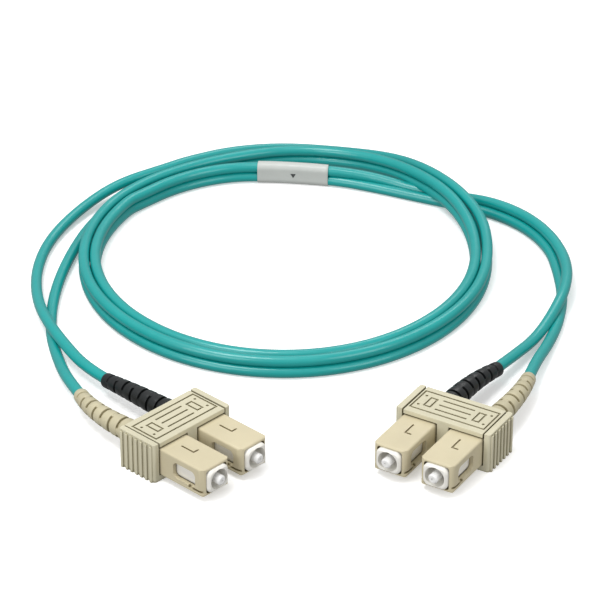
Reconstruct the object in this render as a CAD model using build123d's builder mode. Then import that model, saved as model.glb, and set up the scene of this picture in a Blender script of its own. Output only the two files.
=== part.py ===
"""Duplex fibre patch cord: two clipped pairs of push-pull plugs joined by a twin-lobe cord in a loop.

Frame: +Z up, the floor at z = 0, the origin midway between the two plug pairs, the loop behind them at +Y.
"""
from build123d import *
import os
from math import atan2, ceil, cos, degrees, hypot, pi, radians, sin, tan

os.makedirs("parts", exist_ok=True)

# ---- plug pair layout (mm) ----
PLUG_PITCH = 12.7          # spacing of the two optical axes in a duplex pair
AXIS_HEIGHT = 5.2          # optical axis above the floor
BOOT_DROOP = 9.0           # degrees that every boot sags towards its free end

# Each end: clip centre on the floor, heading of its plugs in degrees from +X, the side of the black plug
# (1 is to the left of the heading), and the sideways bend of each boot in degrees.
ENDS = {
    "left": dict(x=-31.4, y=-6.6, heading=-43.7, black_side=1, bend=dict(black=-6.0, beige=-28.0)),
    "right": dict(x=35.6, y=-3.7, heading=-121.3, black_side=-1, bend=dict(black=-8.0, beige=17.0)),
}

# ---- duplex clip ----
CLIP_WALL = 2.0            # beside each outer grip, ribs included
CLIP_DEPTH = 12.0
CLIP_HEIGHT = 10.4
CLIP_CORNER = 0.7
COVER_THICKNESS = 1.2
COVER_EDGE = 0.2
SIDE_WALL = 1.5            # upper side walls that stand up beside the cover
COVER_GAP = 0.45           # slot between the cover and each side wall
REAR_WALL = 3.6
RIB_DEPTH = 0.45
RIB_WIDTH = 0.8
RIB_PITCH = 1.65
RIB_COUNT = 7
RIB_TOP_GAP = 0.5
POST_RADIUS = 0.9
POST_LENGTH = 3.0
POST_CLEARANCE = 0.05
MARK_DEPTH = 0.35
MARK_WIDTH = 0.5
PANEL_LENGTH = 20.6
PANEL_DEPTH = 8.6
DOT_RADIUS = 0.36
BADGE_WIDTH = 2.2          # plain frame at each end of the panel

# ---- grip (sliding outer housing) ----
GRIP_WIDTH = 9.0
GRIP_HEIGHT = 7.4
GRIP_FRONT = 20.4          # front face, ahead of the clip centre
GRIP_EDGE = 0.5
GRIP_NOSE = 1.5            # corner radius at the front, seen from above
GRIP_GAP_SIDE = 0.3        # gap round the grip in its clip pocket
GRIP_GAP_TOP = 0.3
WINDOW_REAR = 10.4
WINDOW_LENGTH = 7.4
WINDOW_HEIGHT = 4.2
WINDOW_CORNER = 1.3
LEDGE_HEIGHT = 0.6
LEDGE_DEPTH = 0.6
LEDGE_LENGTH = 4.6
ARROW_LENGTH = 4.4         # L-shaped groove on top
ARROW_FOOT = 1.7
KEY_WIDTH = 3.2
KEY_HEIGHT = 0.6
KEY_LENGTH = 7.5
RELEASE_TRAVEL = 1.5       # how far a grip is drawn back to free the plug

# ---- plug frame (inner housing) ----
FRAME_WIDTH = 6.5
FRAME_HEIGHT = 6.0
FRAME_CORNER = 1.6
FRAME_REAR = -0.5
FRAME_PROUD = 0.9          # beyond the grip's front face
FRAME_CLEARANCE = 0.1
FRAME_SEAT_CORNER = 0.7    # corner radius of the opening in the grip
FRAME_EDGE = 0.45
CAVITY_RADIUS = 2.6
SHOULDER_CLEARANCE = 0.2   # round the ferrule
SHOULDER_REAR = 10.2
SHOULDER_LENGTH = 1.4

# ---- ferrule, its holder and spring ----
FERRULE_RADIUS = 1.25
FERRULE_PROUD = 1.0        # beyond the plug frame
FERRULE_TRAVEL = 0.9
FERRULE_CHAMFER = 0.35
FERRULE_SEAT = 2.4         # length held inside the holder
FERRULE_RELIEF = 0.2       # the end that is held is turned down by this much
FERRULE_RELIEF_PAST = 0.15 # how far the turned-down end runs past the shoulder
FERRULE_BORE = 0.3
HOLDER_WALL = 0.85         # round the ferrule, at the flange's corners
HOLDER_LENGTH = 3.2
HOLDER_GAP = 0.05
TAIL_RADIUS = 0.95
TAIL_REAR = -0.5
TAIL_BORE_CLEARANCE = 0.02   # round the buffered fibre
SPRING_WIRE = 0.22         # wire radius
SPRING_MEAN_RADIUS = 1.55
SPRING_PITCH = 1.0
SPRING_END_GAP = 0.02

# ---- rear body, crimp and buffered fibre ----
REAR_BODY_FRONT = 1.5
REAR_BODY_BORE = 1.1
REAR_BODY_CLEARANCE = 0.05
COLLAR_RADIUS = 3.0
COLLAR_LENGTH = 1.6
NECK_STEP = 0.7            # neck over barrel
NECK_REAR = -7.6
BARREL_RADIUS = 1.6
BARREL_REAR = -12.8
CRIMP_WALL = 0.3
CRIMP_FRONT = -8.0
CRIMP_REAR = -13.2
CRIMP_CLEARANCE = 0.03
BUFFER_RADIUS = 0.45
BUFFER_FRONT = 7.6
BUFFER_REAR = -13.2

# ---- boot ----
BOOT_FRONT = -4.1
BOOT_BEND_START = -13.5
BOOT_BENT_LENGTH = 18.5
BOOT_FRONT_WALL = 0.72     # round the neck
BOOT_REAR_WALL = 0.3       # round the cord
BOOT_RINGS = 8
BOOT_COLLAR_LENGTH = 3.4   # plain length before the first groove
BOOT_GROOVE = 0.85
BOOT_GROOVE_DEPTH = 0.55
BOOT_BRIDGE = 1.6
BOOT_BRIDGE_STEP = 0.12    # bridges stand this far below the rings
BOOT_LEAST_WALL = 0.15     # under the grooves
BOOT_HOLE_CLEARANCE = 0.35
BOOT_BORE_CLEARANCE = 0.1
CORD_INSERT = 3.0          # length of cord held inside the boot's mouth

# ---- cord ----
LOBE_DIAMETER = 2.9
ROUTE_EASE = 0.45          # the smooth line through the turns' route points runs this far inside them
LOOP_X, LOOP_Y = -5.5, 86.0
LOOP_HALF_WIDTH = 53.5     # centre line of the outer pass
LOOP_HALF_DEPTH = 57.8
LOOP_SPREAD = 3.4          # between the centre lines of the two passes
TURN_STEP = 15             # degrees of turn between route points in the coil
COIL_START, COIL_END = -30, 660
COIL_BODY_START = 45       # from here to the end the coil's own solid stands for the turns
UNDERPASS_X, UNDERPASS_Y = 36.0, 121.0
UNDERPASS_HEADING = -25.0
UNDERPASS_LENGTH = 60.0
UNDERPASS_WIDTH = 9.5
UNDERPASS_CLEARANCE = 0.3
LABEL_START = -13.2
LABEL_LENGTH = 19.8
LABEL_WALL = 0.2
LABEL_CLEARANCE = 0.15
BEND_SHARE = 0.45          # share of the shorter run that an arc may take

# The coil: turn angle (degrees clockwise from the back of the loop), how far the pair of lobes lies
# outside the outer pass's centre line, the height of its middle, and its lean outwards from upright.
COIL_KEYS = [
    (-30, 1.3, 2.90, 0),
    (-15, 2.0, 2.66, 35),
    (0, 5.0, 1.72, 80),
    (15, 5.7, 1.46, 90),
    (30, 4.2, 2.95, 45),
    (45, 1.5, 5.20, 10),
    (60, 1.4, 5.20, 0),
    (75, 1.5, 4.10, 0),
    (90, 0.3, 3.00, 0),
    (105, 0.0, 2.90, 0),
    (135, -0.3, 2.87, -12),
    (225, -0.3, 2.87, -12),
    (255, 0.0, 2.90, 0),
    (300, 0.0, 2.90, 0),
    (330, -1.8, 2.90, 0),
    (345, -1.6, 2.90, 0),
    (360, 0.2, 2.90, 0),
    (375, 0.9, 3.00, 0),
    (390, -0.3, 4.20, 0),
    (405, -1.9, 5.30, 0),
    (420, -2.0, 5.20, 0),
    (435, -2.3, 4.10, 0),
    (450, -2.8, 3.00, 0),
    (465, -3.0, 2.90, 0),
    (495, -3.25, 2.87, -12),
    (585, -3.25, 2.87, -12),
    (615, -3.1, 2.90, 0),
    (630, -3.0, 2.90, 0),
    (660, -3.6, 2.90, 0),
]

# The twin cord from the end of the coil to where it splits at the right: x, y, z and lean outwards.
LABEL_RUN = [
    (-45.3, 117.4, 2.90, 0),
    (-36.6, 126.2, 2.95, 0),
    (-25.6, 132.1, 3.05, 0),
    (-14.0, 134.0, 3.15, 0),
    (7.5, 131.4, 3.15, 0),
    (20.0, 127.9, 2.50, 45),
    (30.5, 123.4, 1.60, 85),
    (41.0, 118.6, 2.00, 68),
    (51.5, 113.0, 2.72, 30),
    (60.6, 104.2, 2.72, 30),
    (66.2, 92.4, 2.72, 30),
]

# Single legs, from the boot's mouth to the twin cord on the left and from the twin cord on the right.
LEFT_LEGS = {
    "black": [
        (-54.6, 26.9, 3.3),
        (-60.6, 36.6, 4.2),
        (-66.4, 49.0, 4.4),
        (-70.2, 64.5, 2.3),
        (-71.5, 81.0, 1.45),
        (-69.1, 97.4, 1.45),
        (-62.2, 112.6, 2.2),
        (-52.2, 125.6, 3.5),
    ],
    "beige": [
        (-59.0, 21.3, 3.3),
        (-62.2, 33.0, 1.8),
        (-65.2, 46.5, 1.45),
        (-66.0, 61.0, 1.45),
        (-65.0, 76.0, 1.45),
        (-62.3, 91.6, 1.45),
        (-58.0, 107.0, 1.45),
        (-50.6, 120.8, 1.45),
    ],
}
JOIN_RUN = [(-39.2, 133.0, 2.90, 0)]
RIGHT_LEGS = {
    "black": [
        (69.2, 79.0, 4.2),
        (68.0, 66.5, 4.5),
        (64.2, 55.0, 3.8),
        (58.8, 44.0, 2.1),
        (52.3, 33.2, 3.3),
    ],
    "beige": [
        (66.9, 79.5, 1.45),
        (67.2, 66.5, 1.45),
        (65.2, 53.5, 1.45),
        (61.6, 41.5, 1.7),
        (57.4, 29.9, 3.3),
    ],
}
BOOT_EXITS = {
    ("left", "black"): (-47.5, 18.5, 4.2),
    ("left", "beige"): (-54.2, 10.8, 4.2),
    ("right", "black"): (46.0, 23.8, 4.2),
    ("right", "beige"): (54.3, 18.6, 4.2),
}

lobe_radius = LOBE_DIAMETER / 2
clip_width = PLUG_PITCH + GRIP_WIDTH + 2 * (GRIP_GAP_SIDE + CLIP_WALL)
ferrule_held_radius = FERRULE_RADIUS - FERRULE_RELIEF
ferrule_step = SHOULDER_REAR + SHOULDER_LENGTH + FERRULE_RELIEF_PAST
shoulder_radius = FERRULE_RADIUS + SHOULDER_CLEARANCE
holder_radius = FERRULE_RADIUS + HOLDER_WALL
neck_radius = BARREL_RADIUS + NECK_STEP
boot_front_radius = neck_radius + CRIMP_CLEARANCE + BOOT_FRONT_WALL
boot_rear_radius = lobe_radius + BOOT_BORE_CLEARANCE + BOOT_REAR_WALL
frame_front = GRIP_FRONT + FRAME_PROUD
ferrule_tip = frame_front + FERRULE_PROUD
holder_front = SHOULDER_REAR - HOLDER_GAP
holder_rear = holder_front - HOLDER_LENGTH
wall_front = REAR_WALL - CLIP_DEPTH / 2
cover_bottom = AXIS_HEIGHT + GRIP_HEIGHT / 2 + GRIP_GAP_TOP
boot_length = BOOT_FRONT - BOOT_BEND_START + BOOT_BENT_LENGTH
COLOURS = ("black", "beige")


# ---- planes ----
def heading_vectors(end):
    """Unit vectors of an end: along its plugs, and to their left."""
    angle = radians(ENDS[end]["heading"])
    return Vector(cos(angle), sin(angle), 0), Vector(-sin(angle), cos(angle), 0)


def side_of(end, colour):
    """1 if the plug is to the left of its end's heading, else -1."""
    black_side = ENDS[end]["black_side"]
    return black_side if colour == "black" else -black_side


def station(end, side, along):
    """Plane square to a plug's axis, ahead of the clip centre: x to the plug's left, y up, z forward."""
    forward, across = heading_vectors(end)
    foot = Vector(ENDS[end]["x"], ENDS[end]["y"], AXIS_HEIGHT)
    return Plane(origin=foot + across * (side * PLUG_PITCH / 2) + forward * along, x_dir=across, z_dir=forward)


def level(end, side, height):
    """Plane parallel to the floor above a plug's place in the clip: x forward, y to the plug's left."""
    forward, across = heading_vectors(end)
    foot = Vector(ENDS[end]["x"], ENDS[end]["y"], height)
    return Plane(origin=foot + across * (side * PLUG_PITCH / 2), x_dir=forward, z_dir=(0, 0, 1))


def upright(end, side):
    """Vertical plane through a plug's axis: x forward, y up, z to the plug's right."""
    forward, across = heading_vectors(end)
    foot = Vector(ENDS[end]["x"], ENDS[end]["y"], AXIS_HEIGHT)
    return Plane(origin=foot + across * (side * PLUG_PITCH / 2), x_dir=forward, z_dir=across * -1)


def boot_station(end, colour, distance):
    """Plane square to a boot's centre line, `distance` behind its front face, its z pointing forward."""
    side = side_of(end, colour)
    bend = ENDS[end]["bend"][colour]
    straight = BOOT_FRONT - BOOT_BEND_START
    if distance <= straight:
        return station(end, side, BOOT_FRONT - distance)
    base = station(end, side, BOOT_BEND_START)
    total = hypot(bend, BOOT_DROOP)
    sway = (base.x_dir * -bend + base.y_dir * -BOOT_DROOP) * (1 / total)
    turn_radius = BOOT_BENT_LENGTH / radians(total)
    angle = (distance - straight) / turn_radius
    tangent = base.z_dir * cos(angle) - sway * sin(angle)
    origin = base.origin - base.z_dir * (turn_radius * sin(angle)) + sway * (turn_radius * (1 - cos(angle)))
    return Plane(origin=origin, x_dir=base.y_dir.cross(tangent), z_dir=tangent)


def boot_radius(distance):
    """Outer radius of a boot, `distance` behind its front face."""
    return boot_front_radius + (boot_rear_radius - boot_front_radius) * distance / boot_length


def groove_radius(distance):
    """Radius at the bottom of a boot's grooves, which get shallower where its wall is thin."""
    return max(boot_radius(distance) - BOOT_GROOVE_DEPTH, lobe_radius + BOOT_BORE_CLEARANCE + BOOT_LEAST_WALL)


def keep(part, name):
    """Label a finished piece and write its STEP file."""
    part.label = name
    export_step(part, f"parts/{name}.step")


# ---- duplex clip ----
def clip_base(end):
    pocket_width = GRIP_WIDTH + 2 * GRIP_GAP_SIDE
    pocket_bottom = AXIS_HEIGHT - GRIP_HEIGHT / 2
    body_width = clip_width - 2 * RIB_DEPTH
    boot_slot = boot_radius(0) + BOOT_HOLE_CLEARANCE
    with BuildPart() as base:
        with BuildSketch(level(end, 0, 0)):
            RectangleRounded(CLIP_DEPTH, body_width, CLIP_CORNER)
            with GridLocations(RIB_PITCH, body_width, RIB_COUNT, 2):
                RectangleRounded(RIB_WIDTH, 2 * RIB_DEPTH, RIB_WIDTH * 0.3)
        extrude(amount=CLIP_HEIGHT - RIB_TOP_GAP)
        with BuildSketch(level(end, 0, CLIP_HEIGHT - RIB_TOP_GAP)):
            RectangleRounded(CLIP_DEPTH, body_width, CLIP_CORNER)
        extrude(amount=RIB_TOP_GAP)
        with BuildSketch(level(end, 0, cover_bottom)):
            Rectangle(2 * CLIP_DEPTH, body_width - 2 * SIDE_WALL)
        extrude(amount=CLIP_HEIGHT, mode=Mode.SUBTRACT)
        for side in (-1, 1):
            with BuildSketch(level(end, side, pocket_bottom)):
                with Locations((wall_front + CLIP_DEPTH, 0)):
                    Rectangle(2 * CLIP_DEPTH, pocket_width)
            extrude(amount=cover_bottom - pocket_bottom, mode=Mode.SUBTRACT)
            with BuildSketch(station(end, side, -CLIP_DEPTH)):
                Circle(boot_slot)
                with Locations((0, (cover_bottom - AXIS_HEIGHT) / 2)):
                    Rectangle(2 * boot_slot, cover_bottom - AXIS_HEIGHT)
            extrude(amount=CLIP_DEPTH, mode=Mode.SUBTRACT)
        with BuildSketch(level(end, 0, cover_bottom)):
            with Locations((CLIP_DEPTH / 4, 0)):
                Circle(POST_RADIUS + POST_CLEARANCE)
        extrude(amount=-POST_LENGTH - POST_CLEARANCE, mode=Mode.SUBTRACT)
    return base.part


def clip_cover(end):
    width = clip_width - 2 * RIB_DEPTH - 2 * SIDE_WALL - 2 * COVER_GAP
    with BuildPart() as cover:
        with BuildSketch(level(end, 0, cover_bottom)):
            Rectangle(CLIP_DEPTH, width)
        extrude(amount=CLIP_HEIGHT - cover_bottom)
        fillet(cover.faces().sort_by(Axis.Z)[-1].edges(), COVER_EDGE)
        with BuildSketch(level(end, 0, cover_bottom)):
            with Locations((CLIP_DEPTH / 4, 0)):
                Circle(POST_RADIUS)
        extrude(amount=-POST_LENGTH)
        with BuildSketch(level(end, 0, CLIP_HEIGHT)):
            Rectangle(PANEL_DEPTH, PANEL_LENGTH)
            Rectangle(PANEL_DEPTH - 2 * MARK_WIDTH, PANEL_LENGTH - 2 * MARK_WIDTH, mode=Mode.SUBTRACT)
            with GridLocations(PANEL_DEPTH / 4, 0, 3, 1):
                Rectangle(MARK_WIDTH, PANEL_LENGTH * 0.42)
            with GridLocations(0, PANEL_LENGTH * 0.64, 1, 2):
                Rectangle(PANEL_DEPTH / 2, BADGE_WIDTH)
                Rectangle(PANEL_DEPTH / 2 - 2 * MARK_WIDTH, BADGE_WIDTH - 2 * MARK_WIDTH, mode=Mode.SUBTRACT)
            with GridLocations(PANEL_DEPTH / 2, PANEL_LENGTH * 0.86, 2, 2):
                Circle(DOT_RADIUS)
        extrude(amount=-MARK_DEPTH, mode=Mode.SUBTRACT)
    return cover.part


# ---- the sliding grip ----
def grip(end, side):
    length = GRIP_FRONT - wall_front
    middle = (GRIP_FRONT + wall_front) / 2
    with BuildPart() as body:
        with BuildSketch(station(end, side, wall_front)):
            RectangleRounded(GRIP_WIDTH, GRIP_HEIGHT, GRIP_EDGE)
        extrude(amount=length)
        with BuildSketch(level(end, side, 0)) as plan:
            with Locations((middle, 0)):
                Rectangle(length, GRIP_WIDTH)
            fillet(plan.vertices().group_by(Axis.X)[-1], GRIP_NOSE)
        extrude(amount=CLIP_HEIGHT, mode=Mode.INTERSECT)
        with BuildSketch(upright(end, side)) as profile:
            with Locations((middle, 0)):
                Rectangle(length, GRIP_HEIGHT)
            fillet(profile.vertices().group_by(Axis.X)[-1], GRIP_EDGE)
        extrude(amount=GRIP_WIDTH, both=True, mode=Mode.INTERSECT)
        with BuildSketch(station(end, side, GRIP_FRONT - KEY_LENGTH - GRIP_NOSE)):
            with Locations((0, -GRIP_HEIGHT / 2)):
                RectangleRounded(KEY_WIDTH, 2 * KEY_HEIGHT, KEY_HEIGHT / 3)
        extrude(amount=KEY_LENGTH)
        with BuildSketch(station(end, side, wall_front)):
            RectangleRounded(
                FRAME_WIDTH + 2 * FRAME_CLEARANCE, FRAME_HEIGHT + 2 * FRAME_CLEARANCE, FRAME_SEAT_CORNER
            )
        extrude(amount=length, mode=Mode.SUBTRACT)
        with BuildSketch(upright(end, side)):
            with Locations((WINDOW_REAR + WINDOW_LENGTH / 2, 0)):
                RectangleRounded(WINDOW_LENGTH, WINDOW_HEIGHT, WINDOW_CORNER)
        extrude(amount=GRIP_WIDTH, both=True, mode=Mode.SUBTRACT)
        for face in (-1, 1):
            ledge = level(end, side, AXIS_HEIGHT - WINDOW_HEIGHT / 2)
            with BuildSketch(ledge):
                with Locations((WINDOW_REAR + WINDOW_LENGTH, face * GRIP_WIDTH / 2)):
                    Rectangle(LEDGE_LENGTH, 2 * LEDGE_DEPTH)
            extrude(amount=-LEDGE_HEIGHT, mode=Mode.SUBTRACT)
        with BuildSketch(level(end, side, AXIS_HEIGHT + GRIP_HEIGHT / 2)):
            with Locations((WINDOW_REAR + MARK_WIDTH, 0)):
                SlotOverall(ARROW_LENGTH, MARK_WIDTH)
            with Locations((WINDOW_REAR + MARK_WIDTH + ARROW_LENGTH / 2 - MARK_WIDTH / 2, ARROW_FOOT / 2)):
                SlotOverall(ARROW_FOOT, MARK_WIDTH, rotation=90)
        extrude(amount=-MARK_DEPTH, mode=Mode.SUBTRACT)
    return body.part


# ---- inside a plug ----
def plug_frame(end, side):
    forward = Axis((0, 0, 0), tuple(heading_vectors(end)[0]))
    with BuildPart() as frame:
        with BuildSketch(station(end, side, FRAME_REAR)):
            RectangleRounded(FRAME_WIDTH, FRAME_HEIGHT, FRAME_CORNER)
        extrude(amount=frame_front - FRAME_REAR)
        chamfer(frame.faces().sort_by(forward)[-1].edges(), FRAME_EDGE)
        with BuildSketch(station(end, side, FRAME_REAR)):
            Circle(CAVITY_RADIUS)
        extrude(amount=SHOULDER_REAR - FRAME_REAR, mode=Mode.SUBTRACT)
        with BuildSketch(station(end, side, SHOULDER_REAR)):
            Circle(shoulder_radius)
        extrude(amount=SHOULDER_LENGTH, mode=Mode.SUBTRACT)
        with BuildSketch(station(end, side, SHOULDER_REAR + SHOULDER_LENGTH)):
            Circle(CAVITY_RADIUS)
        extrude(amount=frame_front, mode=Mode.SUBTRACT)
    return frame.part


def ferrule(end, side):
    forward = Axis((0, 0, 0), tuple(heading_vectors(end)[0]))
    with BuildPart() as rod:
        with BuildSketch(station(end, side, holder_front - FERRULE_SEAT)):
            Circle(ferrule_held_radius)
        extrude(amount=ferrule_step - holder_front + FERRULE_SEAT)
        with BuildSketch(station(end, side, ferrule_step)):
            Circle(FERRULE_RADIUS)
        extrude(amount=ferrule_tip - ferrule_step)
        chamfer(rod.faces().sort_by(forward)[-1].edges(), FERRULE_CHAMFER)
        with BuildSketch(station(end, side, ferrule_tip)):
            Circle(FERRULE_BORE)
        extrude(amount=-FERRULE_CHAMFER, mode=Mode.SUBTRACT)
    return rod.part


def ferrule_holder(end, side):
    with BuildPart() as holder:
        with BuildSketch(station(end, side, holder_rear)):
            RegularPolygon(holder_radius, 6)
        extrude(amount=HOLDER_LENGTH)
        with BuildSketch(station(end, side, TAIL_REAR)):
            Circle(TAIL_RADIUS)
        extrude(amount=holder_rear - TAIL_REAR)
        with BuildSketch(station(end, side, holder_front - FERRULE_SEAT)):
            Circle(ferrule_held_radius)
        extrude(amount=HOLDER_LENGTH, mode=Mode.SUBTRACT)
        with BuildSketch(station(end, side, TAIL_REAR)):
            Circle(BUFFER_RADIUS + TAIL_BORE_CLEARANCE)
        extrude(amount=HOLDER_LENGTH + holder_rear - TAIL_REAR, mode=Mode.SUBTRACT)
    return holder.part


def spring(end, side):
    free = holder_rear - REAR_BODY_FRONT - 2 * (SPRING_WIRE + SPRING_END_GAP)
    base = station(end, side, REAR_BODY_FRONT + SPRING_WIRE + SPRING_END_GAP)
    coil = Helix(pitch=SPRING_PITCH, height=free, radius=SPRING_MEAN_RADIUS)
    with BuildPart() as wire:
        with BuildLine():
            add(base.location * coil)
        start = base.location * coil
        with BuildSketch(Plane(origin=start @ 0, z_dir=start % 0)):
            Circle(SPRING_WIRE)
        sweep(is_frenet=True)
    return wire.part


def rear_body(end, side):
    steps = [
        (CAVITY_RADIUS - REAR_BODY_CLEARANCE, FRAME_REAR, REAR_BODY_FRONT),
        (COLLAR_RADIUS, FRAME_REAR - COLLAR_LENGTH, FRAME_REAR),
        (neck_radius, NECK_REAR, FRAME_REAR - COLLAR_LENGTH),
        (BARREL_RADIUS, BARREL_REAR, NECK_REAR),
    ]
    with BuildPart() as body:
        for radius, rear, front in steps:
            with BuildSketch(station(end, side, rear)):
                Circle(radius)
            extrude(amount=front - rear)
        with BuildSketch(station(end, side, BARREL_REAR)):
            Circle(REAR_BODY_BORE)
        extrude(amount=REAR_BODY_FRONT - BARREL_REAR, mode=Mode.SUBTRACT)
    return body.part


def crimp_sleeve(end, side):
    inner = BARREL_RADIUS + CRIMP_CLEARANCE
    with BuildPart() as sleeve:
        with BuildSketch(station(end, side, CRIMP_REAR)):
            Circle(inner + CRIMP_WALL)
            Circle(inner, mode=Mode.SUBTRACT)
        extrude(amount=CRIMP_FRONT - CRIMP_REAR)
    return sleeve.part


def buffered_fibre(end, side):
    with BuildPart() as fibre:
        with BuildSketch(station(end, side, BUFFER_REAR)):
            Circle(BUFFER_RADIUS)
        extrude(amount=BUFFER_FRONT - BUFFER_REAR)
    return fibre.part


def boot(end, colour):
    ring_pitch = (boot_length - BOOT_COLLAR_LENGTH) / BOOT_RINGS
    straight = BOOT_FRONT - BOOT_BEND_START
    neck_depth = BOOT_FRONT - NECK_REAR + CRIMP_CLEARANCE
    with BuildPart() as body:
        marks = [BOOT_COLLAR_LENGTH + ring_pitch * i for i in range(BOOT_RINGS + 1)]
        for distance in [0] + marks:
            with BuildSketch(boot_station(end, colour, distance)):
                Circle(groove_radius(distance))
        loft(ruled=True)
        with BuildSketch(boot_station(end, colour, 0)):
            Circle(boot_radius(0))
        with BuildSketch(boot_station(end, colour, BOOT_COLLAR_LENGTH)):
            Circle(boot_radius(BOOT_COLLAR_LENGTH))
        loft(ruled=True)
        for ring in range(BOOT_RINGS):
            rear = BOOT_COLLAR_LENGTH + ring_pitch * (ring + 1)
            front = rear - ring_pitch + BOOT_GROOVE
            for distance in (front, rear):
                with BuildSketch(boot_station(end, colour, distance)):
                    Circle(boot_radius(distance))
            loft(ruled=True)
            middle = front - BOOT_GROOVE / 2
            reach = 2 * (boot_radius(middle) - BOOT_BRIDGE_STEP)
            size = (reach, BOOT_BRIDGE) if ring % 2 else (BOOT_BRIDGE, reach)
            with BuildSketch(boot_station(end, colour, middle)):
                Rectangle(*size)
            extrude(amount=BOOT_GROOVE * 0.6, both=True)
        with BuildSketch(boot_station(end, colour, 0)):
            Circle(neck_radius + CRIMP_CLEARANCE)
        extrude(amount=-neck_depth, mode=Mode.SUBTRACT)
        with BuildSketch(boot_station(end, colour, 0)):
            Circle(BARREL_RADIUS + CRIMP_WALL + 2 * CRIMP_CLEARANCE)
        extrude(amount=-straight, mode=Mode.SUBTRACT)
        bore = [straight - CRIMP_CLEARANCE] + [d for d in marks if d > straight]
        for distance in bore:
            with BuildSketch(boot_station(end, colour, distance)):
                Circle(lobe_radius + BOOT_BORE_CLEARANCE)
        loft(ruled=True, mode=Mode.SUBTRACT)
    return body.part


# ---- cord ----
def coil_key(turn):
    """Offset, height and lean of the pair of lobes at a turn angle."""
    for (t0, *low), (t1, *high) in zip(COIL_KEYS, COIL_KEYS[1:]):
        if t0 <= turn <= t1:
            share = (turn - t0) / (t1 - t0)
            return [a + (b - a) * share for a, b in zip(low, high)]


def coil_point(turn):
    """Middle of the pair of lobes at a turn angle, with its lean."""
    angle = radians(90 - turn)
    offset, height, lean = coil_key(turn)
    normal = Vector(LOOP_HALF_DEPTH * cos(angle), LOOP_HALF_WIDTH * sin(angle), 0).normalized()
    middle = Vector(LOOP_X + LOOP_HALF_WIDTH * cos(angle), LOOP_Y + LOOP_HALF_DEPTH * sin(angle), height)
    middle += normal * (offset + ROUTE_EASE)
    return (middle.X, middle.Y, middle.Z, lean)


def lobe_points(run, which):
    """Centre line of one lobe of the twin cord: which is 1 for the upper lobe, -1 for the lower."""
    points = []
    for i, (x, y, z, lean) in enumerate(run):
        before, after = run[max(i - 1, 0)], run[min(i + 1, len(run) - 1)]
        heading = atan2(after[1] - before[1], after[0] - before[0])
        outward = Vector(-sin(heading), cos(heading), 0) * sin(radians(lean))
        shift = (outward + Vector(0, 0, cos(radians(lean)))) * (which * lobe_radius)
        points.append((x + shift.X, y + shift.Y, z + shift.Z))
    return points


def bend_radii(points):
    """The largest arc at each corner of a route that its two runs allow."""
    corners = [Vector(*p) for p in points]
    radii = []
    for a, b, c in zip(corners, corners[1:], corners[2:]):
        half_turn = radians((b - a).get_angle(c - b)) / 2
        radii.append(BEND_SHARE * min((b - a).length, (c - b).length) / tan(half_turn))
    return radii


def cord_tube(name, points):
    radii = bend_radii(points)
    with BuildPart() as tube:
        with BuildLine():
            centre_line = FilletPolyline(*points, radius=radii)
        with BuildSketch(Plane(origin=centre_line @ 0, z_dir=centre_line % 0)):
            Circle(lobe_radius)
        sweep()
    expected = pi * lobe_radius ** 2 * centre_line.length
    print(f"{name}: length {centre_line.length:.1f}, volume {tube.part.volume / expected:.4f} of its section,"
          f" radii {[round(r) for r in radii]}")
    keep(tube.part, name)
    return centre_line.length


def cord_loop():
    """Outer shape of the coil's turns, with the underpass where the labelled pass leaves it."""
    outer, inner = lobe_radius, -LOOP_SPREAD - lobe_radius
    with BuildPart() as loop:
        with BuildSketch():
            with Locations((LOOP_X, LOOP_Y)):
                Ellipse(LOOP_HALF_WIDTH + outer, LOOP_HALF_DEPTH + outer)
                Ellipse(LOOP_HALF_WIDTH + inner, LOOP_HALF_DEPTH + inner, mode=Mode.SUBTRACT)
        extrude(amount=2 * LOBE_DIAMETER)
        with BuildSketch():
            with Locations(Location((UNDERPASS_X, UNDERPASS_Y), UNDERPASS_HEADING)):
                Rectangle(UNDERPASS_LENGTH, UNDERPASS_WIDTH)
        extrude(amount=LOBE_DIAMETER + UNDERPASS_CLEARANCE, mode=Mode.SUBTRACT)
    return loop.part


def label():
    start, finish = LABEL_RUN[3], LABEL_RUN[4]
    direction = (Vector(*finish[:3]) - Vector(*start[:3])).normalized()
    share = (LABEL_START - start[0]) / (finish[0] - start[0])
    origin = Vector(*start[:3]) + (Vector(*finish[:3]) - Vector(*start[:3])) * share
    inner = lobe_radius + LABEL_CLEARANCE
    with BuildPart() as sleeve:
        with BuildSketch(Plane(origin=origin, x_dir=(0, 0, 1), z_dir=direction)):
            SlotCenterToCenter(LOBE_DIAMETER, 2 * (inner + LABEL_WALL))
            SlotCenterToCenter(LOBE_DIAMETER, 2 * inner, mode=Mode.SUBTRACT)
        extrude(amount=LABEL_LENGTH)
    return sleeve.part


# ---- build and write every piece ----
for end in ENDS:
    keep(clip_base(end), f"{end}_clip_base")
    keep(clip_cover(end), f"{end}_clip_cover")
    for colour in COLOURS:
        side = side_of(end, colour)
        name = f"{end}_{colour}"
        keep(grip(end, side), f"{name}_grip")
        keep(plug_frame(end, side), f"{name}_plug_frame")
        keep(ferrule(end, side), f"{name}_ferrule")
        keep(ferrule_holder(end, side), f"{name}_ferrule_holder")
        keep(spring(end, side), f"{name}_spring")
        keep(rear_body(end, side), f"{name}_rear_body")
        keep(crimp_sleeve(end, side), f"{name}_crimp_sleeve")
        keep(buffered_fibre(end, side), f"{name}_buffered_fibre")
        keep(boot(end, colour), f"{name}_boot")
        mouth = boot_station(end, colour, boot_length - CORD_INSERT)
        print(name, "cord starts at", [round(v, 2) for v in tuple(mouth.origin)], "tangent",
              [round(v, 3) for v in tuple(mouth.z_dir * -1)])

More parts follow.
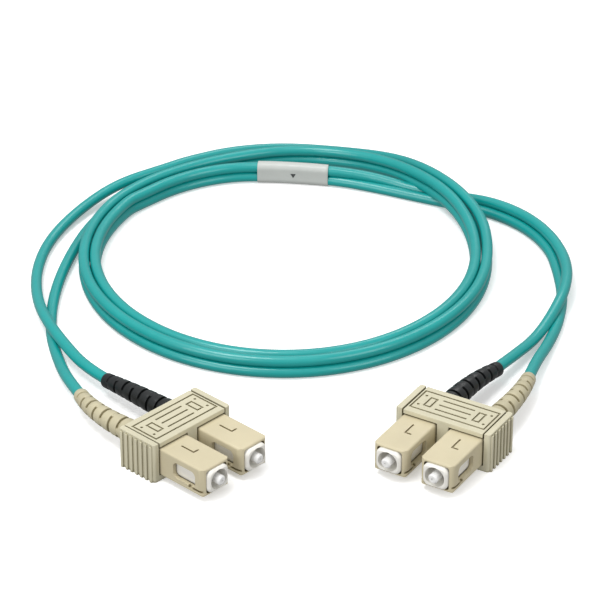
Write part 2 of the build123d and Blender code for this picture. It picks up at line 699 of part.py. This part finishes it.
coil_turns = [coil_point(turn) for turn in range(COIL_START, COIL_END + 1, TURN_STEP)]
lead_turns = [coil_point(turn) for turn in range(COIL_START, COIL_BODY_START + 1, TURN_STEP)]
for colour, which in (("black", 1), ("beige", -1)):
    left = [BOOT_EXITS["left", colour]] + LEFT_LEGS[colour] + lobe_points(JOIN_RUN + lead_turns, which)
    right = lobe_points(LABEL_RUN, which) + RIGHT_LEGS[colour] + [BOOT_EXITS["right", colour]]
    cord_tube(f"left_{colour}_leg", left)
    cord_tube(f"right_{colour}_leg", right)
keep(cord_loop(), "cord_loop")
keep(label(), "cord_label")
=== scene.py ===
"""Duplex fibre patch cord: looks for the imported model, in metres, in the row frame."""

from math import atan2, cos, hypot, pi, radians, sin

import bpy
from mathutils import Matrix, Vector


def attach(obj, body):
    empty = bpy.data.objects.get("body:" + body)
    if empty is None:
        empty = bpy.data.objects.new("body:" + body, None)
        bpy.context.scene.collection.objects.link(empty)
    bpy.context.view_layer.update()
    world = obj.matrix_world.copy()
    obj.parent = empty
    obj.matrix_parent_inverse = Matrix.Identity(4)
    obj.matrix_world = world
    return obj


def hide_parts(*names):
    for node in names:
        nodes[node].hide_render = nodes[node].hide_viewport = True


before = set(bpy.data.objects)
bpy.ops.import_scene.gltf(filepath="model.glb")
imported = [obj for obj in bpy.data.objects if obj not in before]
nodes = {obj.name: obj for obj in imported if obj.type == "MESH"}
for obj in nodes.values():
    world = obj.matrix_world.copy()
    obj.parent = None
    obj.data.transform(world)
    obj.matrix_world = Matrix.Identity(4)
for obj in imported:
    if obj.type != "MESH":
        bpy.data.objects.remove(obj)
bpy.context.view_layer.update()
ROOT = "cord_and_plugs"

# ---- the same values as the CAD, in mm ----
PLUG_PITCH, AXIS_HEIGHT, BOOT_DROOP = 12.7, 5.2, 9.0
ENDS = {
    "left": dict(x=-31.4, y=-6.6, heading=-43.7, black_side=1, bend=dict(black=-6.0, beige=-28.0)),
    "right": dict(x=35.6, y=-3.7, heading=-121.3, black_side=-1, bend=dict(black=-8.0, beige=17.0)),
}
BOOT_FRONT, BOOT_BEND_START, BOOT_BENT_LENGTH = -4.1, -13.5, 18.5
BOOT_FRONT_RADIUS, BOOT_REAR_RADIUS = 3.05, 1.85
BOOT_RINGS, BOOT_COLLAR_LENGTH = 8, 3.4
BOOT_GROOVE, BOOT_GROOVE_DEPTH = 0.85, 0.55
BOOT_LIP, GROOVE_EDGE = 0.15, 0.08
BOOT_BORE_CLEARANCE, BOOT_LEAST_WALL = 0.1, 0.15
BORE_EDGE, BORE_SEEN = 0.06, 4.0
LOBE_DIAMETER = 2.9
ROUTE_EASE = 0.45
LOOP_X, LOOP_Y, LOOP_HALF_WIDTH, LOOP_HALF_DEPTH = -5.5, 86.0, 53.5, 57.8
TURN_STEP, COIL_START, COIL_END = 15, -30, 660
LABEL_START, LABEL_LENGTH = -13.2, 19.8
LABEL_WALL, LABEL_EDGE, LABEL_PINCH, LABEL_STEP = 0.3, 0.06, 0.02, 0.6

COIL_KEYS = [
    (-30, 1.3, 2.90, 0),
    (-15, 2.0, 2.66, 35),
    (0, 5.0, 1.72, 80),
    (15, 5.7, 1.46, 90),
    (30, 4.2, 2.95, 45),
    (45, 1.5, 5.20, 10),
    (60, 1.4, 5.20, 0),
    (75, 1.5, 4.10, 0),
    (90, 0.3, 3.00, 0),
    (105, 0.0, 2.90, 0),
    (135, -0.3, 2.87, -12),
    (225, -0.3, 2.87, -12),
    (255, 0.0, 2.90, 0),
    (300, 0.0, 2.90, 0),
    (330, -1.8, 2.90, 0),
    (345, -1.6, 2.90, 0),
    (360, 0.2, 2.90, 0),
    (375, 0.9, 3.00, 0),
    (390, -0.3, 4.20, 0),
    (405, -1.9, 5.30, 0),
    (420, -2.0, 5.20, 0),
    (435, -2.3, 4.10, 0),
    (450, -2.8, 3.00, 0),
    (465, -3.0, 2.90, 0),
    (495, -3.25, 2.87, -12),
    (585, -3.25, 2.87, -12),
    (615, -3.1, 2.90, 0),
    (630, -3.0, 2.90, 0),
    (660, -3.6, 2.90, 0),
]
LABEL_RUN = [
    (-45.3, 117.4, 2.90, 0),
    (-36.6, 126.2, 2.95, 0),
    (-25.6, 132.1, 3.05, 0),
    (-14.0, 134.0, 3.15, 0),
    (7.5, 131.4, 3.15, 0),
    (20.0, 127.9, 2.50, 45),
    (30.5, 123.4, 1.60, 85),
    (41.0, 118.6, 2.00, 68),
    (51.5, 113.0, 2.72, 30),
    (60.6, 104.2, 2.72, 30),
    (66.2, 92.4, 2.72, 30),
]
LEFT_LEGS = {
    "black": [
        (-54.6, 26.9, 3.3),
        (-60.6, 36.6, 4.2),
        (-66.4, 49.0, 4.4),
        (-70.2, 64.5, 2.3),
        (-71.5, 81.0, 1.45),
        (-69.1, 97.4, 1.45),
        (-62.2, 112.6, 2.2),
        (-52.2, 125.6, 3.5),
    ],
    "beige": [
        (-59.0, 21.3, 3.3),
        (-62.2, 33.0, 1.8),
        (-65.2, 46.5, 1.45),
        (-66.0, 61.0, 1.45),
        (-65.0, 76.0, 1.45),
        (-62.3, 91.6, 1.45),
        (-58.0, 107.0, 1.45),
        (-50.6, 120.8, 1.45),
    ],
}
JOIN_RUN = [(-39.2, 133.0, 2.90, 0)]
RIGHT_LEGS = {
    "black": [
        (69.2, 79.0, 4.2),
        (68.0, 66.5, 4.5),
        (64.2, 55.0, 3.8),
        (58.8, 44.0, 2.1),
        (52.3, 33.2, 3.3),
    ],
    "beige": [
        (66.9, 79.5, 1.45),
        (67.2, 66.5, 1.45),
        (65.2, 53.5, 1.45),
        (61.6, 41.5, 1.7),
        (57.4, 29.9, 3.3),
    ],
}
BOOT_EXITS = {
    ("left", "black"): (-47.5, 18.5, 4.2),
    ("left", "beige"): (-54.2, 10.8, 4.2),
    ("right", "black"): (46.0, 23.8, 4.2),
    ("right", "beige"): (54.3, 18.6, 4.2),
}
lobe_radius = LOBE_DIAMETER / 2
boot_length = BOOT_FRONT - BOOT_BEND_START + BOOT_BENT_LENGTH
ring_pitch = (boot_length - BOOT_COLLAR_LENGTH) / BOOT_RINGS
bore_radius = lobe_radius + BOOT_BORE_CLEARANCE
COLOURS = ("black", "beige")


# ---- materials ----
class Paint:
    """A procedural material: a plastic or metal with mottling, varied roughness, fine bump and, where
    asked, painted shade in crevices.
    """

    def __init__(self, name, colour, roughness, metallic=0.0, coat=0.0, specular=0.5):
        self.material = bpy.data.materials.new(name)
        self.material.use_nodes = True
        self.material.diffuse_color = (*colour, 1)
        self.tree = self.material.node_tree
        self.shader = self.tree.nodes["Principled BSDF"]
        self.shader.inputs["Roughness"].default_value = roughness
        self.shader.inputs["Metallic"].default_value = metallic
        self.shader.inputs["Coat Weight"].default_value = coat
        self.shader.inputs["Specular IOR Level"].default_value = specular
        self.shader.inputs["Base Color"].default_value = (*colour, 1)
        self.colour = colour
        self.roughness = roughness
        self.place = self.node("ShaderNodeTexCoord").outputs["Object"]
        self.height = None

    def node(self, kind, **inputs):
        made = self.tree.nodes.new(kind)
        for name, value in inputs.items():
            self.put(made.inputs[name.replace("_", " ")], value)
        return made

    def put(self, socket, value):
        if hasattr(value, "is_output"):
            self.tree.links.new(value, socket)
        else:
            socket.default_value = value

    def noise(self, scale, detail=3.0, stretch=None, rough=0.5):
        place = self.place
        if stretch:
            mapping = self.node("ShaderNodeMapping", Vector=place)
            mapping.inputs["Scale"].default_value = stretch
            place = mapping.outputs["Vector"]
        return self.node(
            "ShaderNodeTexNoise", Vector=place, Scale=scale, Detail=detail, Roughness=rough
        ).outputs["Fac"]

    def ramp(self, factor, *stops):
        made = self.node("ShaderNodeValToRGB", Fac=factor)
        ramp = made.color_ramp
        while len(ramp.elements) < len(stops):
            ramp.elements.new(0.5)
        for element, (place, value) in zip(ramp.elements, stops):
            element.position = place
            element.color = (*value, 1) if hasattr(value, "__len__") else (value, value, value, 1)
        return made.outputs["Color"]

    def mottle(self, scale, amount):
        """Base colour that drifts a little lighter and darker, coarse and fine."""
        low = [c * (1 - amount) for c in self.colour]
        high = [min(1.0, c * (1 + amount)) for c in self.colour]
        drift = self.ramp(self.noise(scale, 6.0), (0.3, low), (0.7, high))
        self.put(self.shader.inputs["Base Color"], drift)
        return self

    def rub(self, scale, spread):
        """Roughness that varies as handling leaves it."""
        low, high = max(0.02, self.roughness - spread), min(1.0, self.roughness + spread)
        drift = self.ramp(self.noise(scale, 4.0), (0.35, low), (0.65, high))
        self.put(self.shader.inputs["Roughness"], drift)
        return self

    def painted_crevice_shade(self, depth, distance=0.0008):
        """Painted shade: base colour darkened by an ambient occlusion node where the surface is closed in,
        in grooves and seams.
        """
        socket = self.shader.inputs["Base Color"]
        shade = self.node("ShaderNodeAmbientOcclusion", Distance=distance)
        shade.samples = 8
        factor = self.ramp(shade.outputs["AO"], (0.30, depth), (0.85, (1.0, 1.0, 1.0)))
        product = self.tree.nodes.new("ShaderNodeVectorMath")
        product.operation = "MULTIPLY"
        self.tree.links.new(socket.links[0].from_socket, product.inputs[0])
        self.tree.links.new(factor, product.inputs[1])
        self.tree.links.new(product.outputs["Vector"], socket)
        return self

    def bump(self, scale, distance, detail=4.0, stretch=None):
        values = dict(Height=self.noise(scale, detail, stretch), Strength=1.0, Distance=distance)
        made = self.node("ShaderNodeBump", **values)
        if self.height is not None:
            self.put(made.inputs["Normal"], self.height)
        self.height = made.outputs["Normal"]
        self.put(self.shader.inputs["Normal"], self.height)
        return self


def plastic(name, colour, roughness=0.42, grain=0.000015, **kw):
    paint = Paint(name, colour, roughness, **kw)
    return paint.mottle(90, 0.05).rub(260, 0.07).bump(5200, grain).bump(420, grain * 1.5)


jacket = Paint("jacket_aqua", (0.003, 0.335, 0.322), 0.35, coat=0.3, specular=0.55)
jacket.mottle(60, 0.06).rub(320, 0.06).bump(6000, 0.000012).bump(240, 0.00003)
beige_clip = plastic("clip_beige", (0.60, 0.565, 0.415), 0.46, specular=0.3)
# painted shade, tinted olive, darkens the clip's grooves and seams
beige_clip.painted_crevice_shade((0.34, 0.31, 0.22))
beige_grip = plastic("grip_beige", (0.60, 0.535, 0.365), 0.44, specular=0.3)
# painted shade, tinted olive, darkens the grip's grooves and seams
beige_grip.painted_crevice_shade((0.34, 0.30, 0.20))
frame_white = plastic("frame_white", (0.86, 0.84, 0.78), 0.36, specular=0.35)
black_rubber = Paint("boot_black", (0.009, 0.011, 0.012), 0.36, specular=0.5)
# painted shade darkens the black boot's ring grooves
black_rubber.mottle(150, 0.15).painted_crevice_shade((0.2, 0.2, 0.2), 0.001)
black_rubber.rub(400, 0.08).bump(4200, 0.00002).bump(500, 0.00002)
beige_rubber = Paint("boot_beige", (0.52, 0.475, 0.325), 0.48, specular=0.3)
# painted shade darkens the beige boot's ring grooves
beige_rubber.mottle(150, 0.05).painted_crevice_shade((0.40, 0.36, 0.24), 0.001)
beige_rubber.rub(400, 0.07).bump(4200, 0.00002).bump(500, 0.00002)
ceramic = Paint("zirconia", (0.86, 0.855, 0.84), 0.14, coat=0.3)
ceramic.mottle(500, 0.02).rub(900, 0.04).bump(5000, 0.000003)
brass = Paint("holder_metal", (0.72, 0.68, 0.58), 0.3, metallic=1.0)
brass.mottle(300, 0.05).rub(800, 0.08).bump(3000, 0.00001, stretch=(1, 1, 6))
steel = Paint("steel", (0.60, 0.60, 0.60), 0.28, metallic=1.0)
steel.mottle(300, 0.05).rub(800, 0.08).bump(3000, 0.00001, stretch=(1, 1, 6))
label_paper = Paint("label_vinyl", (0.52, 0.545, 0.52), 0.38, coat=0.1)
label_paper.mottle(200, 0.03).rub(300, 0.05).bump(900, 0.00003).bump(7000, 0.000008)
ink = Paint("label_ink", (0.06, 0.065, 0.065), 0.5)
ink.mottle(900, 0.2).bump(5000, 0.000005)
fibre = plastic("fibre_buffer", (0.80, 0.80, 0.76), 0.4)


# ---- mesh helpers ----
def mm(*values):
    return Vector(values) * 0.001


def add_piece(name, verts, faces, paint, body, smooth=True):
    mesh = bpy.data.meshes.new(name)
    mesh.from_pydata([tuple(v) for v in verts], [], faces)
    mesh.validate()
    for polygon in mesh.polygons:
        polygon.use_smooth = smooth
    mesh.materials.append(paint.material)
    made = bpy.data.objects.new(name, mesh)
    bpy.context.scene.collection.objects.link(made)
    if body:
        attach(made, body)
    return made


def skin(rings, closed_ends=True):
    """Vertices and faces over rings of equal numbers of points."""
    count = len(rings[0])
    verts = [v for ring in rings for v in ring]
    faces = []
    for i in range(len(rings) - 1):
        for j in range(count):
            k = (j + 1) % count
            faces.append((i * count + j, i * count + k, (i + 1) * count + k, (i + 1) * count + j))
    if closed_ends:
        faces.append(tuple(reversed(range(count))))
        last = (len(rings) - 1) * count
        faces.append(tuple(range(last, last + count)))
    return verts, faces


def carried_frames(points):
    """Point, tangent and two normals along a line, with no twist between them."""
    frames = []
    normal = None
    for i, p in enumerate(points):
        tangent = (points[min(i + 1, len(points) - 1)] - points[max(i - 1, 0)]).normalized()
        if normal is None:
            normal = Vector((0, 0, 1)) - tangent * tangent.z
        else:
            turn = last_tangent.rotation_difference(tangent)
            normal = turn @ normal
            normal -= tangent * normal.dot(tangent)
        normal.normalize()
        frames.append((p, tangent, normal.copy(), tangent.cross(normal)))
        last_tangent = tangent
    return frames


def tube_mesh(points, radius, sides=20):
    rings = []
    for p, _, up, across in carried_frames(points):
        angles = [2 * pi * j / sides for j in range(sides)]
        rings.append([p + (across * cos(a) + up * sin(a)) * radius for a in angles])
    return skin(rings)


# ---- places on an end ----
def heading_vectors(end):
    angle = radians(ENDS[end]["heading"])
    return Vector((cos(angle), sin(angle), 0)), Vector((-sin(angle), cos(angle), 0))


def side_of(end, colour):
    black_side = ENDS[end]["black_side"]
    return black_side if colour == "black" else -black_side


def boot_station(end, colour, distance):
    """Origin, across, up and forward at a distance behind a boot's front face, in mm."""
    forward, across = heading_vectors(end)
    up = Vector((0, 0, 1))
    side = side_of(end, colour)
    foot = Vector((ENDS[end]["x"], ENDS[end]["y"], AXIS_HEIGHT)) + across * (side * PLUG_PITCH / 2)
    straight = BOOT_FRONT - BOOT_BEND_START
    if distance <= straight:
        return foot + forward * (BOOT_FRONT - distance), across, up, forward
    bend = ENDS[end]["bend"][colour]
    total = hypot(bend, BOOT_DROOP)
    sway = (across * -bend + up * -BOOT_DROOP) * (1 / total)
    turn_radius = BOOT_BENT_LENGTH / radians(total)
    angle = (distance - straight) / turn_radius
    tangent = forward * cos(angle) - sway * sin(angle)
    origin = foot + forward * (BOOT_BEND_START - turn_radius * sin(angle))
    origin += sway * (turn_radius * (1 - cos(angle)))
    x_dir = up.cross(tangent).normalized()
    return origin, x_dir, tangent.cross(x_dir), tangent


def boot_radius(distance):
    return BOOT_FRONT_RADIUS + (BOOT_REAR_RADIUS - BOOT_FRONT_RADIUS) * distance / boot_length


# ---- cord ----
def coil_key(turn):
    for (t0, *low), (t1, *high) in zip(COIL_KEYS, COIL_KEYS[1:]):
        if t0 <= turn <= t1:
            share = (turn - t0) / (t1 - t0)
            return [a + (b - a) * share for a, b in zip(low, high)]


def coil_point(turn):
    angle = radians(90 - turn)
    offset, height, lean = coil_key(turn)
    normal = Vector((LOOP_HALF_DEPTH * cos(angle), LOOP_HALF_WIDTH * sin(angle), 0)).normalized()
    middle = Vector((LOOP_X + LOOP_HALF_WIDTH * cos(angle), LOOP_Y + LOOP_HALF_DEPTH * sin(angle), height))
    middle += normal * (offset + ROUTE_EASE)
    return (*middle, lean)


def lobe_points(run, which):
    points = []
    for i, (x, y, z, lean) in enumerate(run):
        before, after = run[max(i - 1, 0)], run[min(i + 1, len(run) - 1)]
        heading = atan2(after[1] - before[1], after[0] - before[0])
        outward = Vector((-sin(heading), cos(heading), 0)) * sin(radians(lean))
        shift = (outward + Vector((0, 0, cos(radians(lean))))) * (which * lobe_radius)
        points.append((x + shift.x, y + shift.y, z + shift.z))
    return points


def spline_points(control):
    """Points on the smooth line of a route, in metres."""
    curve = bpy.data.curves.new("route", "CURVE")
    curve.dimensions = "3D"
    curve.resolution_u = 8
    spline = curve.splines.new("NURBS")
    spline.points.add(len(control) - 1)
    for point, place in zip(spline.points, control):
        point.co = (*mm(*place), 1)
    spline.order_u = 3
    spline.use_endpoint_u = True
    made = bpy.data.objects.new("route", curve)
    bpy.context.scene.collection.objects.link(made)
    bpy.context.view_layer.update()
    mesh = bpy.data.meshes.new_from_object(made)
    points = [v.co.copy() for v in mesh.vertices]
    bpy.data.objects.remove(made)
    bpy.data.meshes.remove(mesh)
    return points


coil_turns = [coil_point(turn) for turn in range(COIL_START, COIL_END + 1, TURN_STEP)]
routes = {}
for colour, which in (("black", 1), ("beige", -1)):
    control = [BOOT_EXITS["left", colour]] + LEFT_LEGS[colour]
    control += lobe_points(JOIN_RUN + coil_turns, which)
    control += lobe_points(LABEL_RUN, which) + RIGHT_LEGS[colour] + [BOOT_EXITS["right", colour]]
    routes[colour] = spline_points(control)


# ---- boots ----
def smooth_step(x):
    x = min(1.0, max(0.0, x))
    return x * x * (3 - 2 * x)


def boot_surface(distance, angle):
    """Radius of a boot's skin: rings parted by grooves that alternate bridges cross."""
    outer = boot_radius(distance)
    past = distance - BOOT_COLLAR_LENGTH
    if past < 0:
        return outer
    ring = min(int(past / ring_pitch), BOOT_RINGS - 1)
    within = past - ring * ring_pitch
    into = smooth_step(within / GROOVE_EDGE) * smooth_step((BOOT_GROOVE - within) / GROOVE_EDGE)
    across = abs(sin(angle)) if ring % 2 == 0 else abs(cos(angle))
    bridge = smooth_step((across - 0.90) / 0.05)
    crown = 0.06 * smooth_step((within - BOOT_GROOVE) / 0.4) * smooth_step((ring_pitch - within) / 0.4)
    floor_radius = max(outer - BOOT_GROOVE_DEPTH, bore_radius + BOOT_LEAST_WALL)
    return outer + crown - (outer - floor_radius) * into * (1 - bridge * 0.85)


def boot_profile():
    """Distances along a boot: close together at each groove's edges, wider over the rings."""
    marks = [0, 0.05, 0.12, 0.2, 1.2, 2.3]
    for ring in range(BOOT_RINGS):
        start = BOOT_COLLAR_LENGTH + ring * ring_pitch
        marks += [start - 0.12, start, start + GROOVE_EDGE * 0.5, start + GROOVE_EDGE]
        rear = start + BOOT_GROOVE
        marks += [rear - GROOVE_EDGE, rear - GROOVE_EDGE * 0.5, rear, rear + 0.12, rear + 0.4]
        marks += [(rear + start + ring_pitch) / 2, start + ring_pitch - 0.4]
    return sorted(marks + [boot_length - 0.2, boot_length - 0.12, boot_length - 0.05, boot_length])


def boot_piece(end, colour):
    sides = 96
    angles = [2 * pi * j / sides for j in range(sides)]
    rings = []
    for distance in boot_profile():
        origin, x_dir, y_dir, _ = boot_station(end, colour, distance)
        gap = min(distance, boot_length - distance)
        shrink = 0.0 if gap >= BOOT_LIP else BOOT_LIP - (BOOT_LIP ** 2 - (BOOT_LIP - gap) ** 2) ** 0.5
        ring = []
        for angle in angles:
            radius = boot_surface(distance, angle) - shrink
            ring.append((origin + (x_dir * cos(angle) + y_dir * sin(angle)) * radius) * 0.001)
        rings.append(ring)
    inner = bore_radius
    for back, radius in ((0, inner + BORE_EDGE), (BORE_EDGE, inner), (BORE_SEEN, inner)):
        origin, x_dir, y_dir, _ = boot_station(end, colour, boot_length - back)
        rings.append([(origin + (x_dir * cos(a) + y_dir * sin(a)) * radius) * 0.001 for a in angles])
    verts, faces = skin(rings)
    paint = black_rubber if colour == "black" else beige_rubber
    made = add_piece(f"{end}_{colour}_boot_skin", verts, faces, paint, ROOT)
    made.data.set_sharp_from_angle(angle=radians(38))
    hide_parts(f"{end}_{colour}_boot")
    return made


boots = {(end, colour): boot_piece(end, colour) for end in ENDS for colour in COLOURS}

# ---- the two lobes of the cord ----
for colour in COLOURS:
    points = routes[colour]
    verts, faces = tube_mesh(points, lobe_radius * 0.001)
    lobe = add_piece(f"jacket_lobe_{colour}", verts, faces, jacket, ROOT)
    legs = [f"left_{colour}_leg", f"right_{colour}_leg"]
    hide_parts(*(legs + ["cord_loop"] if colour == "black" else legs))

# ---- label sleeve ----
start, finish = LABEL_RUN[3], LABEL_RUN[4]
run = (Vector(finish[:3]) - Vector(start[:3])).normalized()
share = (LABEL_START - start[0]) / (finish[0] - start[0])
label_origin = Vector(start[:3]) + (Vector(finish[:3]) - Vector(start[:3])) * share
label_across = Vector((0, 0, 1)).cross(run).normalized()


def label_outline(wall, pinch, count=20):
    """Stadium round both lobes, drawn in slightly between them, anticlockwise from its right side."""
    radius = lobe_radius + wall
    ring = []
    for sign in (1, -1):
        for k in range(8):
            height = lobe_radius * (k / 8 * 2 - 1)
            draw = pinch * (1 - (height / lobe_radius) ** 2)
            ring.append(((radius - draw) * sign, height * sign))
        for j in range(count):
            angle = pi * j / count
            ring.append((radius * cos(angle) * sign, (lobe_radius + radius * sin(angle)) * sign))
    return ring


def crossing(points, place, normal):
    """Where a route passes through a plane."""
    for p, q in zip(points, points[1:]):
        low, high = (p - place).dot(normal), (q - place).dot(normal)
        if low * high <= 0 and low != high and (p - place).length < 0.006:
            return p + (q - p) * (low / (low - high))
    raise ValueError("the label is not on the cord")


def label_centre(s):
    place = (label_origin + run * s) * 0.001
    return (crossing(routes["black"], place, run) + crossing(routes["beige"], place, run)) * 500


label_steps = round(LABEL_LENGTH / LABEL_STEP)
stations = [(0.0, 0.04), (0.0, LABEL_WALL - LABEL_EDGE), (LABEL_EDGE, LABEL_WALL)]
stations += [(LABEL_STEP * k, LABEL_WALL) for k in range(1, label_steps)]
stations += [(LABEL_LENGTH - LABEL_EDGE, LABEL_WALL), (LABEL_LENGTH, LABEL_WALL - LABEL_EDGE)]
stations.append((LABEL_LENGTH, 0.04))
rings = []
for s, wall in stations:
    centre = label_centre(s)
    ring = [centre + label_across * x + Vector((0, 0, y)) for x, y in label_outline(wall, LABEL_PINCH)]
    rings.append([v * 0.001 for v in ring])
verts, faces = skin(rings, closed_ends=False)
label = add_piece("label_wrap", verts, faces, label_paper, ROOT)
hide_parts("cord_label")

# a plain printed pointer on the label's side
corners = ((9.3, 0.55), (10.8, 0.55), (10.05, -0.75))
verts = []
for depth in (lobe_radius + LABEL_WALL - 0.02, lobe_radius + LABEL_WALL + 0.02):
    for s, lift in corners:
        verts.append((label_centre(s) - label_across * depth + Vector((0, 0, lift))) * 0.001)
faces = [(2, 1, 0), (3, 4, 5), (0, 1, 4, 3), (1, 2, 5, 4), (2, 0, 3, 5)]
add_piece("label_pointer", verts, faces, ink, ROOT, smooth=False)


# ---- the CAD pieces that stay ----
def dress(node, paint, edge=0.0):
    made = nodes[node]
    if not made.material_slots:
        made.data.materials.append(paint.material)
    for slot_ in made.material_slots:
        slot_.material = paint.material
    if edge:
        weld = made.modifiers.new("weld", "WELD")
        weld.merge_threshold = 0.000002
        bevel = made.modifiers.new("edge", "BEVEL")
        bevel.width = edge * 0.001
        bevel.segments = 3
        bevel.limit_method = "ANGLE"
        bevel.angle_limit = radians(28)
        bevel.use_clamp_overlap = True


for end in ENDS:
    dress(f"{end}_clip_base", beige_clip, 0.14)
    dress(f"{end}_clip_cover", beige_clip, 0.08)
    for colour in COLOURS:
        name = f"{end}_{colour}"
        dress(f"{name}_grip", beige_grip, 0.12)
        dress(f"{name}_plug_frame", frame_white, 0.1)
        dress(f"{name}_ferrule", ceramic)
        dress(f"{name}_ferrule_holder", brass)
        dress(f"{name}_spring", steel)
        dress(f"{name}_rear_body", frame_white)
        dress(f"{name}_crimp_sleeve", steel)
        dress(f"{name}_buffered_fibre", fibre)

# ---- floor, light, camera ----
bpy.context.scene.view_settings.view_transform = "Standard"
floor_paint = Paint("floor", (0.95, 0.95, 0.95), 0.75, specular=0.2)
floor_paint.shader.inputs["Emission Color"].default_value = (1, 1, 1, 1)
floor_paint.shader.inputs["Emission Strength"].default_value = 0.30
floor_paint.mottle(6, 0.006)
FLOOR_REACH = 1.6
floor_corners = [(x * FLOOR_REACH, y * FLOOR_REACH, 0) for x, y in ((-1, -1), (1, -1), (1, 1), (-1, 1))]
floor_mesh = bpy.data.meshes.new("floor")
floor_mesh.from_pydata(floor_corners, [], [(0, 1, 2, 3)])
floor_mesh.materials.append(floor_paint.material)
floor = bpy.data.objects.new("floor", floor_mesh)
bpy.context.scene.collection.objects.link(floor)
floor.visible_diffuse = False
floor.visible_glossy = False

world = bpy.data.worlds.new("studio")
world.use_nodes = True
sky = world.node_tree
background = sky.nodes["Background"]
background.inputs["Strength"].default_value = 1.0
direction = sky.nodes.new("ShaderNodeTexCoord")
height = sky.nodes.new("ShaderNodeSeparateXYZ")
fade = sky.nodes.new("ShaderNodeValToRGB")
sky.links.new(direction.outputs["Generated"], height.inputs["Vector"])
sky.links.new(height.outputs["Z"], fade.inputs["Fac"])
sky.links.new(fade.outputs["Color"], background.inputs["Color"])
fade.color_ramp.elements[0].position = 0.0
fade.color_ramp.elements[0].color = (0.36, 0.36, 0.36, 1)
fade.color_ramp.elements[1].position = 1.0
fade.color_ramp.elements[1].color = (0.62, 0.62, 0.62, 1)
bpy.context.scene.world = world


def area_light(name, place, target, width, power):
    light = bpy.data.lights.new(name, "AREA")
    light.shape = "SQUARE"
    light.size = width
    light.energy = power
    made = bpy.data.objects.new(name, light)
    made.location = place
    made.rotation_euler = (Vector(target) - Vector(place)).to_track_quat("-Z", "Y").to_euler()
    bpy.context.scene.collection.objects.link(made)


area_light("key", (-0.25, -0.05, 0.85), (0, 0.06, 0), 0.35, 3.6)
area_light("fill", (0.60, -0.55, 0.40), (0, 0.06, 0), 0.5, 2.2)
area_light("front", (-0.55, -0.60, 0.35), (0, 0.03, 0), 0.6, 3.4)
area_light("back", (0.2, 0.65, 0.7), (0, 0.06, 0), 0.4, 1.2)

camera = bpy.data.cameras.new("camera")
camera.lens = 180
camera.sensor_width = 36
camera.clip_start = 0.01
camera.clip_end = 20
viewer = bpy.data.objects.new("camera", camera)
viewer.location = (-0.0015, -0.6129, 0.3925)
viewer.rotation_euler = (radians(60), 0, 0)
bpy.context.scene.collection.objects.link(viewer)
bpy.context.scene.camera = viewer
